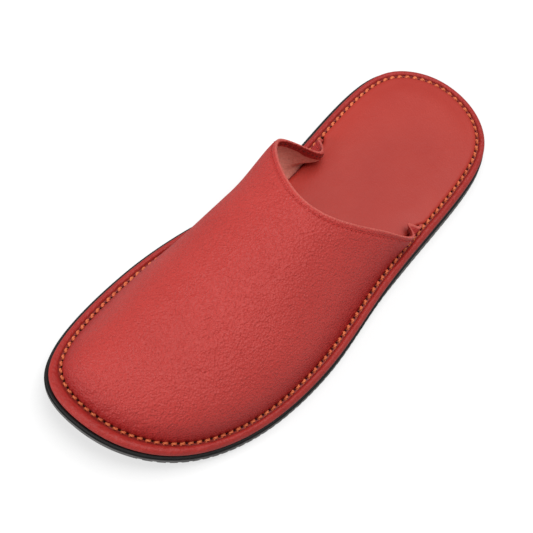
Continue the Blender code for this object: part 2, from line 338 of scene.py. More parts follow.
loops = outsole_loops()
outsole = drawn_through("rubber_sole", loops)
band_start = len(loops) - BAND_AND_TOP_LOOPS
marked(outsole, "band_shade_mask", np.repeat(np.arange(len(loops)) >= band_start, AROUND))
closed_up(outsole)

bpy.ops.object.select_all(action="DESELECT")
bpy.ops.mesh.primitive_cube_add(size=1)
groove_cutter = bpy.context.object
groove_cutter.name = "groove_cutter"
groove_corners = np.array([v.co for v in groove_cutter.data.vertices])
groove_faces = [tuple(face.vertices) for face in groove_cutter.data.polygons]
groove_points, groove_all = [], []
grooves_each_way = int((SOLE_LENGTH / 2 - TREAD_END) / TREAD_PITCH)
for step in range(-grooves_each_way, grooves_each_way + 1):
    y = step * TREAD_PITCH
    corners = groove_corners * (2 * BALL_WIDTH, TREAD_GROOVE, 1)
    corners[:, 1] += y
    high = groove_corners[:, 2] > 0
    corners[:, 2] = np.where(high, sole_bottom(corners[:, 1]) + TREAD_DEPTH, CUTTER_BOTTOM)
    groove_all.extend(tuple(8 * len(groove_points) + i for i in face) for face in groove_faces)
    groove_points.append(corners)
groove_cutter.data.clear_geometry()
groove_cutter.data.from_pydata(np.concatenate(groove_points).tolist(), [], groove_all)
pick(outsole)
cut = outsole.modifiers.new("tread", "BOOLEAN")
cut.operation = "DIFFERENCE"
cut.object = groove_cutter
bpy.ops.object.modifier_apply(modifier=cut.name)
bpy.data.objects.remove(groove_cutter)
smooth(outsole, 35)

RUBBER_COLOR = (0.072, 0.069, 0.068)
RUBBER_PALE = (0.170, 0.164, 0.162)
# The band's near-black colour is painted shade of the recess under the rim.
BAND_PAINTED_SHADE = (0.020, 0.020, 0.020)
rubber, shader = new_finish("black_rubber", RUBBER_COLOR, 0.8)
shader.inputs["Specular IOR Level"].default_value = 0.2
rubber_place = object_place(rubber)
clouds = node(rubber, "ShaderNodeTexNoise", {"Vector": rubber_place, "Scale": 160, "Detail": 4})
lines = node(rubber, "ShaderNodeTexNoise",
             {"Vector": object_place(rubber, (90, 90, 1800)), "Scale": 1, "Detail": 3})
streaks = node(rubber, "ShaderNodeMath", {0: clouds.outputs["Fac"], 1: lines.outputs["Fac"]},
               operation="MULTIPLY")
streak_range = {"Value": streaks.outputs[0], "From Min": 0.1, "From Max": 0.4}
streak_share = node(rubber, "ShaderNodeMapRange", streak_range).outputs[0]
face_shade = mixed_colors(rubber, streak_share, RUBBER_COLOR, RUBBER_PALE)
# Painted shade: the set-back band is coloured near black.
band = node(rubber, "ShaderNodeAttribute", attribute_name="band_shade_mask").outputs["Fac"]
wire(rubber, mixed_colors(rubber, band, face_shade, BAND_PAINTED_SHADE), shader, "Base Color")
pores = node(rubber, "ShaderNodeTexNoise", {"Vector": rubber_place, "Scale": 1500, "Detail": 2})
low = bumped(rubber, lines.outputs["Fac"], 0.0003)
wire(rubber, bumped(rubber, pores.outputs["Fac"], 0.0001, under=low), shader, "Normal")
outsole.data.materials.append(rubber)
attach(outsole, "root")
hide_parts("outsole")


# The platform and its rolled rim
# A board covered in red leather. The leather is rolled round the edge, so that it shows as a
# soft round rim over the sole, and dips into a groove where the seam runs. The groove is coloured
# darker as painted shade.
CLEARANCE = 0.0003
MEDIAL_LEDGE = 0.0028
LATERAL_LEDGE = 0.0004
RIM_WIDTH = 0.0038
TOE_RIM_EXTRA = 0.0026
RIM_HEIGHT = 0.0050
RIM_UNDERCUT = 0.0008
RIM_CENTRE_HEIGHT = 0.0022
PLATFORM_HEIGHT = 0.0029
SEAM_GROOVE = 0.0014
GROOVE_FLOOR = 0.0038
BASE_LOOPS = 3
ROLL_LOOPS = 20
GROOVE_LOOPS = 5
RIM_RED = (0.42, 0.030, 0.024)
RIM_DEEP_RED = (0.30, 0.016, 0.013)
# Painted shade for the seam groove and the foot of the roll.
GROOVE_PAINTED_SHADE = (0.22, 0.016, 0.013)


def rim_setback():
    return LATERAL_LEDGE + (MEDIAL_LEDGE - LATERAL_LEDGE) * (1 - OUTWARD[:, 0]) / 2


def rim_width():
    return RIM_WIDTH + TOE_RIM_EXTRA * np.clip(-OUTWARD[:, 1], 0, 1) ** 2


def rim_loops():
    crown = RIM_HEIGHT - RIM_CENTRE_HEIGHT
    first = -np.arcsin((RIM_CENTRE_HEIGHT - RIM_UNDERCUT) / crown)
    last = np.pi - np.arcsin((GROOVE_FLOOR - RIM_CENTRE_HEIGHT) / crown)
    setback, width = rim_setback(), rim_width()
    base = loop_around(setback + RIM_UNDERCUT, over(sole_top, CLEARANCE))
    loops = [towards_middle(base, share) for share in (0, 0.5, 1.0)]
    for turn in np.linspace(first, last, ROLL_LOOPS):
        inset = setback + width / 2 * (1 - np.cos(turn))
        rise = CLEARANCE + RIM_CENTRE_HEIGHT + crown * np.sin(turn)
        loops.append(loop_around(inset, over(sole_top, rise)))
    seam = setback + width
    for share in (0.25, 0.5, 0.75, 0.97):
        loops.append(loop_around(seam + SEAM_GROOVE * share, over(sole_top, CLEARANCE + GROOVE_FLOOR)))
    inner = loop_around(seam + SEAM_GROOVE, over(sole_top, CLEARANCE + PLATFORM_HEIGHT))
    loops.extend(towards_middle(inner, share) for share in (1.0, 0.9, 0.5, 0))
    return loops


loops = rim_loops()
platform = drawn_through("platform_rim", loops)
# Painted shade: the loops in the groove, and the last ones of the roll, are coloured darker.
groove_shade_share = np.zeros(len(loops))
roll_end = BASE_LOOPS + ROLL_LOOPS
groove_shade_share[roll_end - 3:roll_end] = (0.25, 0.6, 0.85)
groove_shade_share[roll_end:roll_end + GROOVE_LOOPS] = 1
marked(platform, "groove_shade_mask", np.repeat(groove_shade_share, AROUND))
closed_up(platform)
smooth(platform, 50)

rim_leather, shader = new_finish("rim_leather", RIM_RED, 0.52)
shader.inputs["Specular IOR Level"].default_value = 0.3
rim_place = object_place(rim_leather)
clouds = node(rim_leather, "ShaderNodeTexNoise", {"Vector": rim_place, "Scale": 90, "Detail": 4})
shade = mixed_colors(rim_leather, clouds.outputs["Fac"], RIM_DEEP_RED, RIM_RED)
# Painted shade darkens the groove.
groove_shade_mask = node(rim_leather, "ShaderNodeAttribute", attribute_name="groove_shade_mask").outputs["Fac"]
wire(rim_leather, mixed_colors(rim_leather, groove_shade_mask, shade, GROOVE_PAINTED_SHADE), shader, "Base Color")
puckers = node(rim_leather, "ShaderNodeTexNoise", {"Vector": rim_place, "Scale": 330, "Detail": 3})
grain = node(rim_leather, "ShaderNodeTexVoronoi", {"Vector": rim_place, "Scale": 1200})
low = bumped(rim_leather, puckers.outputs["Fac"], 0.0011)
fine = bumped(rim_leather, grain.outputs["Distance"], 0.00010, under=low)
wire(rim_leather, fine, shader, "Normal")
platform.data.materials.append(rim_leather)
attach(platform, "root")
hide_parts("midsole")


# The padded insole
# A thin foam pad under smooth red leather, with a rounded edge and a slight crown. Under the
# upper it leaves room for the wall, and behind the upper it reaches the seam.
UPPER_WALL = 0.0016
HEM_WIDTH = 0.0060
HEM_STEP = 0.0007
SIDE_LENGTH = 0.1985
INSOLE_EDGE = 0.0026
INSOLE_ROUND = 0.0030
INSOLE_CROWN = 0.0008
INSOLE_CROWN_INSET = 0.0120
INSOLE_WIDENING_LEAD = 0.0045
INSOLE_WIDENING_RUN = 0.0060
INSOLE_RED = (0.45, 0.041, 0.027)
INSOLE_DEEP_RED = (0.38, 0.027, 0.019)


def seam_inset():
    return rim_setback() + rim_width() + SEAM_GROOVE


def seam_start():
    return place(0) + (LATERAL_LEDGE + MEDIAL_LEDGE) / 2 + RIM_WIDTH + TOE_RIM_EXTRA + SEAM_GROOVE


def seam_height(y):
    return sole_top(y) + CLEARANCE + PLATFORM_HEIGHT + CLEARANCE


def side_end():
    return seam_start() + SIDE_LENGTH


def insole_loops():
    start = side_end() - INSOLE_WIDENING_LEAD
    free = ease(EDGE[:, 1], start, start + INSOLE_WIDENING_RUN)
    edge = seam_inset() + (UPPER_WALL + HEM_STEP + CLEARANCE) * (1 - free)
    base = loop_around(edge, seam_height)
    loops = [towards_middle(base, share) for share in (0, 0.5, 1.0)]
    loops.append(loop_around(edge, over(seam_height, INSOLE_EDGE * 0.25)))
    for turn in np.linspace(0, 1, 7):
        swing = turn * np.pi / 2
        inset = edge + INSOLE_ROUND * (1 - np.cos(swing))
        rise = INSOLE_EDGE * (0.5 + 0.5 * np.sin(swing))
        loops.append(loop_around(inset, over(seam_height, rise)))
    for share in (0.33, 0.66, 1.0):
        inset = edge + INSOLE_ROUND + (INSOLE_CROWN_INSET - INSOLE_ROUND) * share
        rise = INSOLE_EDGE + INSOLE_CROWN * np.sin(share * np.pi / 2)
        loops.append(loop_around(inset, over(seam_height, rise)))
    last = loops[-1]
    loops.extend(towards_middle(last, share) for share in (0.8, 0.6, 0.4, 0.2, 0))
    return loops


insole = drawn_through("padded_insole", insole_loops())
closed_up(insole)
smooth(insole, 50)

insole_leather, shader = new_finish("insole_leather", INSOLE_RED, 0.5)
shader.inputs["Specular IOR Level"].default_value = 0.3
insole_place = object_place(insole_leather)
clouds = node(insole_leather, "ShaderNodeTexNoise", {"Vector": insole_place, "Scale": 40, "Detail": 5})
shade = mixed_colors(insole_leather, clouds.outputs["Fac"], INSOLE_DEEP_RED, INSOLE_RED)
wire(insole_leather, shade, shader, "Base Color")
grain = node(insole_leather, "ShaderNodeTexVoronoi", {"Vector": insole_place, "Scale": 1400},
             feature="SMOOTH_F1")
low = bumped(insole_leather, clouds.outputs["Fac"], 0.0006)
fine = bumped(insole_leather, grain.outputs["Distance"], 0.00006, under=low)
wire(insole_leather, fine, shader, "Normal")
insole.data.materials.append(insole_leather)
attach(insole, "root")
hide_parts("insole")


# The upper
# One piece of pebbled red leather, lasted over the foot and sewn down all round. At the throat
# it is folded in as a hem, and tucked inwards at both ends of the collar.
TOE_HEIGHT = 0.0268
INSTEP_HEIGHT = 0.0477
TOE_CAP_LENGTH = 0.0435
VAMP_LENGTH = 0.1418
RIDGE_SHIFT = -0.0064
MEDIAL_TUCK_DEPTH = 0.0075
MEDIAL_TUCK_LENGTH = 0.0095
MEDIAL_TUCK_FROM_END = 0.0145
LATERAL_TUCK_DEPTH = 0.0070
LATERAL_TUCK_LENGTH = 0.0045
LATERAL_TUCK_FROM_END = 0.0090
SWELL = (
    # along, medial, lateral
    (0.00, 0.00, 0.00),
    (0.20, -0.09, 0.03),
    (0.43, -0.03, -0.03),
    (0.65, 0.16, -0.16),
    (0.83, 0.33, -0.06),
    (0.93, 0.02, 0.19),
    (1.00, 0.05, 0.08),
)
CLIMB_POWER = 0.77
ARCH_POWER = 0.965
MEDIAL_THROAT_POWER = 1.12
LATERAL_THROAT_POWER = 0.925
TUCK_LOW, TUCK_FULL = 0.05, 0.16
LEATHER_THICKNESS = 0.0011
UPPER_ROWS = 230
INNER_ROWS = 60
UPPER_COLUMNS = 240
FINE_ROWS = 0.86
COLUMN_SPREAD = 0.35
SIDE_POINTS = 600


def swell(y, column):
    stations = seam_start() + SIDE_LENGTH * np.array([row[0] for row in SWELL])
    amounts = BALL_WIDTH * np.array([row[column] for row in SWELL])
    steps = np.diff(amounts) / np.diff(stations)
    slopes = np.zeros(len(SWELL))
    product = np.clip(steps[:-1] * steps[1:], 0, None)
    slopes[1:-1] = 2 * product / (steps[:-1] + steps[1:])
    span = np.clip(np.searchsorted(stations, y) - 1, 0, len(SWELL) - 2)
    width = stations[span + 1] - stations[span]
    t = np.clip((y - stations[span]) / width, 0, 1)
    return cubic(t, amounts[span], amounts[span + 1], width * slopes[span], width * slopes[span + 1])


def upper_surface(y, angle, depth):
    """Point of the upper. Angle 0 is the medial seam, pi the lateral one, depth is into the wall."""
    lateral, medial = inset_sides(seam_inset() + depth, SIDE_POINTS)
    inner = np.interp(y, medial[:, 1], medial[:, 0])
    outer = np.interp(y, lateral[:, 1], lateral[:, 0])
    tip = lateral[0, 1]
    cap = np.clip((y - tip) / TOE_CAP_LENGTH, 0, 1)
    climb = np.clip((y - tip) / VAMP_LENGTH, 0, None) ** CLIMB_POWER
    ridge = TOE_HEIGHT + (INSTEP_HEIGHT - TOE_HEIGHT) * climb - depth
    height = np.sqrt(1 - (1 - cap) ** 2) * ridge
    across, up = np.cos(angle), np.abs(np.sin(angle))
    side_swell = np.where(across > 0, swell(y, 1), swell(y, 2))
    tuck_depth = np.where(across > 0, MEDIAL_TUCK_DEPTH, LATERAL_TUCK_DEPTH)
    tuck_length = np.where(across > 0, MEDIAL_TUCK_LENGTH, LATERAL_TUCK_LENGTH)
    tuck_place = side_end() - np.where(across > 0, MEDIAL_TUCK_FROM_END, LATERAL_TUCK_FROM_END)
    nearness = np.exp(-((y - tuck_place) / tuck_length) ** 2)
    fold = tuck_depth * nearness * ease(up, TUCK_LOW, TUCK_FULL)
    outwards = side_swell * up * across ** 2 - fold
    x = (inner + outer) / 2 - (outer - inner) / 2 * across - np.sign(across) * outwards
    x = x + RIDGE_SHIFT * up ** 3 * cap
    z = seam_height(y) + height * up ** ARCH_POWER
    return np.stack([x, y, z], axis=-1)


def topline(angle):
    power = np.where(np.cos(angle) > 0, MEDIAL_THROAT_POWER, LATERAL_THROAT_POWER)
    return side_end() - (SIDE_LENGTH - VAMP_LENGTH) * np.abs(np.sin(angle)) ** power


def hem_run(angle):
    """Length along Y of a band of the hem's width, measured square to the topline."""
    step = 0.001
    before, after = np.clip(angle - step, 0, np.pi), np.clip(angle + step, 0, np.pi)
    edge = upper_surface(topline(after), after, 0) - upper_surface(topline(before), before, 0)
    edge /= np.linalg.norm(edge, axis=-1)[:, None]
    here = topline(angle)
    back = (upper_surface(here, angle, 0) - upper_surface(here - step, angle, 0)) / step
    return HEM_WIDTH / np.clip(np.linalg.norm(np.cross(back, edge), axis=-1), 0.5, 1.0)


column_share = np.linspace(0, 1, UPPER_COLUMNS + 1)
column_shift = COLUMN_SPREAD * np.sin(2 * np.pi * column_share) / (2 * np.pi)
column_angle = np.pi * (column_share - column_shift)
column_top = topline(column_angle)
column_hem = hem_run(column_angle)


def skin(depth, last_y, rows):
    """Rows of points over the last, from the toe tip back to last_y, at one depth of the wall."""
    tip = inset_sides(seam_inset() + depth, SIDE_POINTS)[0][0, 1]
    middle = last_y[UPPER_COLUMNS // 2]
    turns = np.pi * FINE_ROWS * np.arange(rows) / (rows - 1)
    shares = (1 - np.cos(turns)) / (1 - np.cos(turns[-1]))
    rows_y = [tip + (middle - tip) * share + (last_y - middle) * share ** 3 for share in shares]
    return [upper_surface(y, column_angle, depth) for y in rows_y]


# Creases of the worn leather, as lines over the floor plan of the shoe, in millimetres. The
# leather dips along each line, which bends a little, and rises softly beside it.
CREASES = (
    # from x, y, to x, y, half width, depth
    (8.8, -85.6, 14.4, -83.5, 1.3, 0.35),
    (9.9, -77.4, 13.5, -67.3, 1.4, 0.35),
    (15.4, -90.1, 22.8, -85.5, 1.5, 0.40),
    (1.5, -85.3, 7.7, -82.4, 1.3, 0.30),
    (15.9, -80.9, 20.0, -72.4, 1.3, 0.30),
    (24.2, -88.1, 31.9, -85.3, 1.6, 0.35),
    (11.0, -53.4, 19.3, -49.0, 1.6, 0.30),
    (3.4, -72.9, 5.5, -66.0, 1.3, 0.28),
    (4.4, -79.0, 9.5, -70.8, 1.3, 0.32),
    (12.3, -79.5, 22.8, -75.2, 1.4, 0.32),
    (21.0, -32.1, 26.7, -28.3, 1.4, 0.25),
    (23.8, -37.2, 29.4, -32.3, 1.4, 0.25),
    (25.2, -114.5, 32.3, -111.4, 1.1, 0.30),
    (28.5, -111.9, 34.5, -108.8, 1.0, 0.30),
    (22.1, -118.4, 28.1, -115.5, 1.1, 0.28),
    (31.5, -102.2, 37.8, -99.5, 1.2, 0.28),
    (-14.1, -130.6, -9.0, -127.5, 1.1, 0.25),
    (-2.0, -130.5, 2.0, -126.5, 1.1, 0.28),
    (5.0, -129.0, 9.0, -124.5, 1.1, 0.30),
    (11.5, -126.5, 16.0, -122.0, 1.1, 0.28),
    (17.0, -123.0, 22.5, -118.5, 1.1, 0.28),
    (-42.0, -98.0, -36.5, -92.0, 1.6, 0.30),
    (-38.0, -106.0, -32.0, -101.0, 1.6, 0.28),
    (-2.0, -95.0, 9.0, -97.5, 2.2, 0.22),
    (-20.0, -70.0, -8.0, -62.0, 3.0, 0.25),
    (0.0, -50.0, 8.0, -42.0, 2.4, 0.22),
    (22.0, -62.0, 30.0, -55.0, 2.0, 0.25),
)
CREASE_STRENGTH = 0.9
CREASE_BEND = 0.5
CREASE_FULL = 0.3
CREASE_FADE = 0.05
CREASE_RIDGES = 0.8
CREASE_SPREAD = 1.6
PUCKER_DEPTH = 0.00030
PUCKER_REACH = 0.0032
HEM_DIP = 0.00040
HEM_DIP_WIDTH = 0.0006
SKIN_EDGE_FADE = 0.0012
SEAM_SHADE_WIDTH = 0.0130
HEM_STITCH_LINE = 0.0032
SEAM_PITCH = 0.0042


def seam_path():
    line = rim_setback() + rim_width() + SEAM_GROOVE / 2
    loop = loop_around(line, over(sole_top, CLEARANCE + GROOVE_FLOOR))
    return np.vstack([loop, loop[:1]])


def run_along(path):
    return np.concatenate(([0.0], np.cumsum(np.linalg.norm(np.diff(path, axis=0), axis=1))))


def outward_normals(rows):
    """Unit normals of a grid of points, turned away from the inside of the shoe."""
    normals = np.cross(np.gradient(rows, axis=1), np.gradient(rows, axis=0))
    length = np.linalg.norm(normals, axis=-1)[..., None]
    normals = normals / np.maximum(length, 1e-12)
    return normals * np.sign(normals[len(rows) // 2, UPPER_COLUMNS // 2, 2])


def worn(rows):
    """The outer skin with creases, seam puckers and hem stitch line, and its nearness to the
    seam, which sets the painted shade beside the seam.
    """
    rows = np.array(rows)
    rise = np.zeros(rows.shape[:2])
    for x0, y0, x1, y1, half_width, depth in CREASES:
        start, end = np.array([x0, y0]) / 1000, np.array([x1, y1]) / 1000
        length = np.linalg.norm(end - start)
        along = (end - start) / length
        away = rows[..., :2] - start
        share = away @ along / length
        off = (away @ np.array([-along[1], along[0]])) / (half_width / 1000)
        off = off + CREASE_BEND * np.sin(np.pi * share)
        past_full = np.clip(np.abs(share - 0.5) - CREASE_FULL, 0, None)
        fall = CREASE_STRENGTH * depth / 1000 * np.exp(-past_full ** 2 / CREASE_FADE)
        rise -= fall * (1 - CREASE_RIDGES * off ** 2) * np.exp(-off ** 2 / CREASE_SPREAD)
    path = seam_path()
    run = run_along(path)
    count = int(round(run[-1] / SEAM_PITCH))
    painted_seam_shade = np.zeros(rows.shape[:2])
    for i, row in enumerate(rows):
        gaps = np.linalg.norm(row[:, None, :] - path[None, :-1, :], axis=-1)
        nearest = gaps.argmin(axis=1)
        gap = gaps.min(axis=1)
        wave = np.cos(2 * np.pi * count * run[nearest] / run[-1])
        rise[i] += PUCKER_DEPTH * wave * np.exp(-(gap / PUCKER_REACH) ** 2)
        painted_seam_shade[i] = np.exp(-(gap / SEAM_SHADE_WIDTH) ** 2)
    from_edge = (column_top - rows[..., 1]) / column_hem * HEM_WIDTH
    rise -= HEM_DIP * np.exp(-((from_edge - HEM_STITCH_LINE) / HEM_DIP_WIDTH) ** 2)
    height = rows[..., 2] - seam_height(rows[..., 1])
    rise *= ease(height, 0, SKIN_EDGE_FADE) * ease(from_edge, 0, SKIN_EDGE_FADE)
    return list(rows + outward_normals(rows) * rise[..., None]), painted_seam_shade


def sheet_of(name, rows_out, rows_turned, rows_in):
    """A grid laid in rows over the top, round the edge and back underneath, closed at its sides."""
    grid_rows = rows_out + rows_turned + rows_in
    bpy.ops.object.select_all(action="DESELECT")
    bpy.ops.mesh.primitive_grid_add(x_subdivisions=UPPER_COLUMNS,
                                    y_subdivisions=len(grid_rows) - 1, size=0.1)
    piece = bpy.context.object
    piece.name = piece.data.name = name
    piece.data.vertices.foreach_set("co", np.concatenate(grid_rows).ravel())
    piece.data.update()
    wide = UPPER_COLUMNS + 1
    count = len(grid_rows)
    bpy.ops.object.mode_set(mode="EDIT")
    bpy.ops.mesh.select_mode(type="EDGE")
    for column in (0, wide - 1):
        bpy.ops.mesh.select_all(action="DESELECT")
        bpy.ops.object.mode_set(mode="OBJECT")
        low = {row * wide + column for row in range(len(rows_out))}
        high = {row * wide + column for row in range(count - len(rows_in), count)}
        for edge in piece.data.edges:
            ends = set(edge.vertices)
            edge.select = ends <= low or ends <= high
        bpy.ops.object.mode_set(mode="EDIT")
        bpy.ops.mesh.bridge_edge_loops()
    bpy.ops.object.mode_set(mode="OBJECT")
    return piece


def holes_filled(piece):
    """Closes what is still open at the two ends of the hem, and at the tip."""
    pick(piece)
    bpy.ops.object.mode_set(mode="EDIT")
    bpy.ops.mesh.select_mode(type="VERT")
    bpy.ops.mesh.select_all(action="SELECT")
    bpy.ops.mesh.remove_doubles(threshold=0.000002)
    bpy.ops.mesh.select_all(action="DESELECT")
    bpy.ops.mesh.select_non_manifold()
    bpy.ops.mesh.fill_holes(sides=0)
    bpy.ops.mesh.select_all(action="SELECT")
    bpy.ops.mesh.normals_make_consistent(inside=False)
    bpy.ops.object.mode_set(mode="OBJECT")


# The folded hem, from its rounded edge to the raw edge inside
FOLD = 0.0018
FOLD_ROUND = FOLD * 0.35
FOLD_TURNS = 7
# The fold's edge is coloured paler pink, partly as rubbed wear and partly as a painted highlight.
FULLY_WORN_AND_LIT_TURNS = 4
EDGE_WEAR_AND_HIGHLIGHT = 0.0010
edge_y = column_top - FOLD_ROUND
outer_rows, painted_seam_shade = worn(skin(0, edge_y, UPPER_ROWS))
turned_rows = []
for turn in np.linspace(0, np.pi, FOLD_TURNS + 2)[1:-1]:
    inwards = FOLD / 2 * (1 - np.cos(turn))
    turned_rows.append(upper_surface(edge_y + FOLD_ROUND * np.sin(turn), column_angle, inwards))
for share in (0, 0.25, 0.5, 0.75, 0.97, 1.0):
    hem_y = edge_y - (column_hem - FOLD_ROUND) * share
    turned_rows.append(upper_surface(hem_y, column_angle, FOLD))
inner_rows = skin(LEATHER_THICKNESS, column_top - column_hem, INNER_ROWS)[::-1]
upper = sheet_of("upper_leather", outer_rows, turned_rows, inner_rows)
# Paler pink at the fold's edge: partly rubbed wear, partly painted highlight.
fold_edge = np.zeros((UPPER_ROWS + len(turned_rows) + INNER_ROWS, UPPER_COLUMNS + 1))
for row in range(UPPER_ROWS):
    fold_edge[row] = 1 - ease(edge_y - outer_rows[row][:, 1], 0, EDGE_WEAR_AND_HIGHLIGHT)
half_worn_and_lit = UPPER_ROWS + FULLY_WORN_AND_LIT_TURNS
fold_edge[UPPER_ROWS:half_worn_and_lit] = 1
fold_edge[half_worn_and_lit:UPPER_ROWS + FOLD_TURNS] = 0.5
marked(upper, "fold_edge", fold_edge)
# Painted shade beside the seam, on the outer rows only.
seam_shade = np.zeros(fold_edge.shape)
seam_shade[:UPPER_ROWS] = painted_seam_shade
marked(upper, "painted_seam_shade", seam_shade)
holes_filled(upper)
smooth(upper, 60)

UPPER_RED = (0.51, 0.046, 0.038)
UPPER_DEEP_RED = (0.42, 0.027, 0.022)
EDGE_PINK = (0.56, 0.100, 0.080)
# Painted shade: the leather beside the seam is coloured a deeper red.
SEAM_PAINTED_SHADE_RED = (0.34, 0.011, 0.010)
upper_leather, shader = new_finish("pebbled_leather", UPPER_RED, 0.52)
shader.inputs["Specular IOR Level"].default_value = 0.36
upper_place = object_place(upper_leather)
clouds = node(upper_leather, "ShaderNodeTexNoise", {"Vector": upper_place, "Scale": 30, "Detail": 5})
shade = mixed_colors(upper_leather, clouds.outputs["Fac"], UPPER_DEEP_RED, UPPER_RED)
# Painted shade beside the seam.
seam_shade_share = node(upper_leather, "ShaderNodeAttribute", attribute_name="painted_seam_shade").outputs["Fac"]
shade = mixed_colors(upper_leather, seam_shade_share, shade, SEAM_PAINTED_SHADE_RED)
# Paler pink at the fold's edge, partly rubbed wear and partly painted highlight.
worn_and_lit_edge = node(upper_leather, "ShaderNodeAttribute", attribute_name="fold_edge").outputs["Fac"]
wire(upper_leather, mixed_colors(upper_leather, worn_and_lit_edge, shade, EDGE_PINK), shader, "Base Color")
hills = node(upper_leather, "ShaderNodeTexNoise", {"Vector": upper_place, "Scale": 130, "Detail": 3})
wrinkles = node(upper_leather, "ShaderNodeTexNoise",
                {"Vector": upper_place, "Scale": 520, "Detail": 3, "Distortion": 0.8})
pebble = node(upper_leather, "ShaderNodeTexVoronoi", {"Vector": upper_place, "Scale": 900})
low = bumped(upper_leather, hills.outputs["Fac"], 0.0006)
fine = bumped(upper_leather, wrinkles.outputs["Fac"], 0.00050, under=low)
finest = bumped(upper_leather, pebble.outputs["Distance"], 0.00045, under=fine)
wire(upper_leather, finest, shader, "Normal")
upper.data.materials.append(upper_leather)
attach(upper, "root")
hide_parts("upper")


# The lining
# Pale reddish brown suede, glued inside the upper. Its edge lies under the turned-in hem.
LINING_THICKNESS = 0.0004
LINING_GAP = 0.0001
LINING_UNDER_HEM = 0.0012
LINING_ROWS = 90
SUEDE_DARK = (0.58, 0.165, 0.125)
SUEDE_PALE = (0.93, 0.360, 0.280)

lining_end = column_top - column_hem + LINING_UNDER_HEM
near_depth = LEATHER_THICKNESS + LINING_GAP
near_rows = skin(near_depth, lining_end, LINING_ROWS)
far_rows = skin(near_depth + LINING_THICKNESS, lining_end, LINING_ROWS)[::-1]
lining = sheet_of("suede_lining", near_rows, [], far_rows)
holes_filled(lining)
smooth(lining, 60)
suede, shader = new_finish("suede", SUEDE_PALE, 0.9)
shader.inputs["Specular IOR Level"].default_value = 0.2
nap = node(suede, "ShaderNodeTexNoise", {"Vector": object_place(suede), "Scale": 700, "Detail": 5})
wire(suede, mixed_colors(suede, nap.outputs["Fac"], SUEDE_DARK, SUEDE_PALE), shader, "Base Color")
wire(suede, bumped(suede, nap.outputs["Fac"], 0.0003), shader, "Normal")
lining.data.materials.append(suede)
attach(lining, "root")


# The seam
# A thick two-ply orange thread, sewn through upper or insole and platform all round in the
# groove. Each stitch stands up as a short twisted lump and dives into the hole at either end.
SEAM_STITCH = 0.0031
THREAD_RADIUS = 0.00060
PLY_SWING = 0.00034
PLY_TWISTS = 0.75
STITCH_SLANT = 0.28
STITCH_DIVE = 0.0010
STITCH_RISE = 0.00055
AXIS_STEP = 0.0004
THREAD_ORANGE = (0.78, 0.16, 0.045)
THREAD_DEEP = (0.48, 0.060, 0.018)
THREAD_PALE = (0.92, 0.30, 0.11)


def stitch_of(name, length, radius, swing, twists, drop):
    """One stitch along X, of two plies twisted round each other, its ends diving down."""
    plies = []
    for ply in (0, np.pi):
        loops = []
        for share in (0, 0.04, 0.2, 0.4, 0.6, 0.8, 0.96, 1):
            twist = ply + 2 * np.pi * twists * share
            end = abs(2 * share - 1) ** 3
            centre = np.array([length * (share - 0.5), swing * np.cos(twist),
                               swing * np.sin(twist) - drop * end])
            around = 2 * np.pi * np.arange(5) / 5
            wide = radius * (1 - (2 * share - 1) ** 8)
            ring = np.stack([0 * around, wide * np.cos(around), wide * np.sin(around)], axis=1)
            loops.append(centre + ring)
        plies.append(drawn_through(name, loops))
    bpy.ops.object.select_all(action="DESELECT")
    for ply in plies:
        ply.select_set(True)
    bpy.ops.object.join()
    stitch = bpy.context.object
    closed_up(stitch)
    return stitch


def point_at(points, run, at):
    return np.array([np.interp(at, run, points[:, axis]) for axis in range(3)])


def places_along(path, ups, pitch, rise=0.0, start=0.0, slant=0.0, inwards=0.0):
    """Even places along a line, each with its axes: along it, sideways and out of the leather."""
    run = run_along(path)
    count = int(round(run[-1] / pitch))
    places = []
    for i in range(count):
        at = (i + start) * run[-1] / count
        ahead = point_at(path, run, min(at + AXIS_STEP, run[-1]))
        behind = point_at(path, run, max(at - AXIS_STEP, 0))
        along = (ahead - behind) / np.linalg.norm(ahead - behind)
        up = point_at(ups, run, at)
        up = up - along * (up @ along)
        up /= np.linalg.norm(up)
        side = np.cross(up, along)
        turned = along * np.cos(slant) + side * np.sin(slant)
        centre = point_at(path, run, at) + up * rise + side * inwards
        axes = np.column_stack([turned, np.cross(up, turned), up, centre])
        places.append(Matrix([*axes.tolist(), (0, 0, 0, 1)]))
    return places


def laid_out(name, piece, places):
    """Copies of one small piece, one at each place, joined in one mesh."""
    copies = []
    for where in places:
        made = bpy.data.objects.new(name, piece.data.copy())
        made.data.transform(where)
        bpy.context.scene.collection.objects.link(made)
        copies.append(made)
    bpy.data.objects.remove(piece)
    bpy.ops.object.select_all(action="DESELECT")
    for made in copies:
        made.select_set(True)
    bpy.context.view_layer.objects.active = copies[0]
    bpy.ops.object.join()
    copies[0].name = copies[0].data.name = name
    return copies[0]


seam_line = seam_path()
straight_up = np.tile((0.0, 0.0, 1.0), (len(seam_line), 1))
stitch = stitch_of("stitch", SEAM_STITCH, THREAD_RADIUS, PLY_SWING, PLY_TWISTS, STITCH_DIVE)
seam_places = places_along(seam_line, straight_up, SEAM_PITCH, STITCH_RISE, slant=STITCH_SLANT)
seam = laid_out("seam_stitches", stitch, seam_places)
smooth(seam, 70)
thread, shader = new_finish("orange_thread", THREAD_ORANGE, 0.6)
thread_place = object_place(thread)
fibres = node(thread, "ShaderNodeTexNoise", {"Vector": thread_place, "Scale": 2500, "Detail": 2})
dyed = node(thread, "ShaderNodeTexNoise", {"Vector": thread_place, "Scale": 190, "Detail": 2})
shade = mixed_colors(thread, fibres.outputs["Fac"], THREAD_ORANGE, THREAD_PALE)
wire(thread, mixed_colors(thread, dyed.outputs["Fac"], THREAD_DEEP, shade), shader, "Base Color")
wire(thread, bumped(thread, fibres.outputs["Fac"], 0.0001), shader, "Normal")
seam.data.materials.append(thread)
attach(seam, "root")


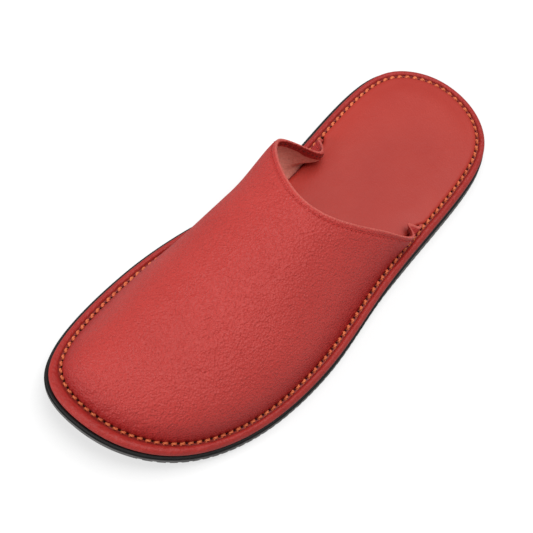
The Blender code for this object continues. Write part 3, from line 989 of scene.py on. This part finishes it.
# The needle holes of the seam
# A dark, slightly domed plug between each two stitches, on the seam's inner side. It stands for
# the shadow in a hole.
HOLE_RADIUS = 0.00070
HOLE_DOME = 0.0002
HOLE_DEPTH = 0.0006
HOLE_RISE = 0.00012
HOLE_INWARDS = 0.00028
HOLE_COLOR = (0.030, 0.006, 0.004)
HOLE_BLACK = (0.012, 0.003, 0.002)
HOLE_BROWN = (0.055, 0.010, 0.006)
bpy.ops.object.select_all(action="DESELECT")
bpy.ops.mesh.primitive_circle_add(vertices=8, radius=HOLE_RADIUS, fill_type="TRIFAN")
hole = bpy.context.object
for point in hole.data.vertices:
    point.co.z = -HOLE_DOME if point.co.length > HOLE_RADIUS / 2 else HOLE_DOME
bpy.ops.object.mode_set(mode="EDIT")
bpy.ops.mesh.select_all(action="SELECT")
bpy.ops.mesh.extrude_region_move(TRANSFORM_OT_translate={"value": (0, 0, -HOLE_DEPTH)})
bpy.ops.mesh.select_all(action="SELECT")
bpy.ops.mesh.normals_make_consistent(inside=False)
bpy.ops.object.mode_set(mode="OBJECT")
hole_places = places_along(seam_line, straight_up, SEAM_PITCH, HOLE_RISE, 0.5, inwards=HOLE_INWARDS)
holes = laid_out("seam_holes", hole, hole_places)
dark, shader = new_finish("hole_shadow", HOLE_COLOR, 0.9)
shader.inputs["Specular IOR Level"].default_value = 0.1
specks = node(dark, "ShaderNodeTexNoise", {"Vector": object_place(dark), "Scale": 900})
wire(dark, mixed_colors(dark, specks.outputs["Fac"], HOLE_BLACK, HOLE_BROWN), shader, "Base Color")
holes.data.materials.append(dark)
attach(holes, "root")


# The hem's stitching
# Small stitches in a dark red run along the topline, as one row on the outside and a darker one
# on the turned-in hem. The inside row's extra darkness is painted shade along its stitch line.
HEM_STITCH = 0.0021
HEM_PITCH = 0.0028
HEM_THREAD = 0.00022
HEM_DIVE = 0.0004
HEM_RISE = 0.0001
TOWARDS_TOE = 0.0005
PALER = 1.7
HEM_ROWS = (
    # name, depth into the wall, side that it faces, thread colour
    ("hem_stitches", 0.0002, 1, (0.34, 0.018, 0.014)),
    # The inside thread is darker as painted shade.
    ("hem_stitches_inside", FOLD, -1, (0.13, 0.010, 0.008)),
)
sewn_columns = slice(6, -6)
for name, depth, facing, color in HEM_ROWS:
    line_y = column_top - column_hem * HEM_STITCH_LINE / HEM_WIDTH
    line = upper_surface(line_y, column_angle, depth)
    behind = upper_surface(line_y - TOWARDS_TOE, column_angle, depth)
    out = np.cross(np.gradient(line, axis=0), line - behind)
    out /= np.linalg.norm(out, axis=1)[:, None]
    out *= facing * np.sign(out[UPPER_COLUMNS // 2, 2])
    stitch = stitch_of("stitch", HEM_STITCH, HEM_THREAD, HEM_THREAD * 0.7, PLY_TWISTS, HEM_DIVE)
    places = places_along(line[sewn_columns], out[sewn_columns], HEM_PITCH, HEM_RISE)
    row = laid_out(name, stitch, places)
    smooth(row, 70)
    finish, shader = new_finish(name + "_thread", color, 0.6)
    spun = node(finish, "ShaderNodeTexNoise",
                {"Vector": object_place(finish), "Scale": 2500, "Detail": 2})
    paler = tuple(PALER * part for part in color)
    wire(finish, mixed_colors(finish, spun.outputs["Fac"], color, paler), shader, "Base Color")
    row.data.materials.append(finish)
    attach(row, "root")


# The studio
# A plain floor that glows, so that it comes out white with a soft shadow, and isn't mirrored in
# the leather. A broad soft light hangs overhead, and a window stands low in front.
FLOOR_SIZE = 6
FLOOR_GREY = (0.38, 0.38, 0.38)
FLOOR_GLOW = 0.61
SURROUNDINGS = 0.38
bpy.ops.object.select_all(action="DESELECT")
bpy.ops.mesh.primitive_plane_add(size=FLOOR_SIZE, location=(0, 0, -0.0001))
floor = bpy.context.object
floor.name = "floor"
white, shader = new_finish("white_floor", FLOOR_GREY, 0.8)
shader.inputs["Specular IOR Level"].default_value = 0.1
shader.inputs["Emission Color"].default_value = (1, 1, 1, 1)
shader.inputs["Emission Strength"].default_value = FLOOR_GLOW
floor.data.materials.append(white)
floor.visible_glossy = False
floor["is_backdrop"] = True


def soft_light(name, location, size, power):
    bpy.ops.object.light_add(type="AREA", location=location)
    lamp = bpy.context.object
    lamp.name = name
    lamp.data.shape = "DISK"
    lamp.data.size = size
    lamp.data.energy = power
    lamp.rotation_mode = "QUATERNION"
    lamp.rotation_quaternion = (-Vector(location)).to_track_quat("-Z", "Y")


soft_light("overhead_softbox", (0.10, 0.30, 1.5), 1.3, 20)
soft_light("front_window", (-0.65, -1.35, 0.45), 0.6, 11)
world = bpy.data.worlds.new("studio")
bpy.context.scene.world = world
world.use_nodes = True
background = world.node_tree.nodes["Background"]
background.inputs["Color"].default_value = (1, 1, 1, 1)
background.inputs["Strength"].default_value = SURROUNDINGS
bpy.context.scene.view_settings.view_transform = "Standard"

low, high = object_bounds()
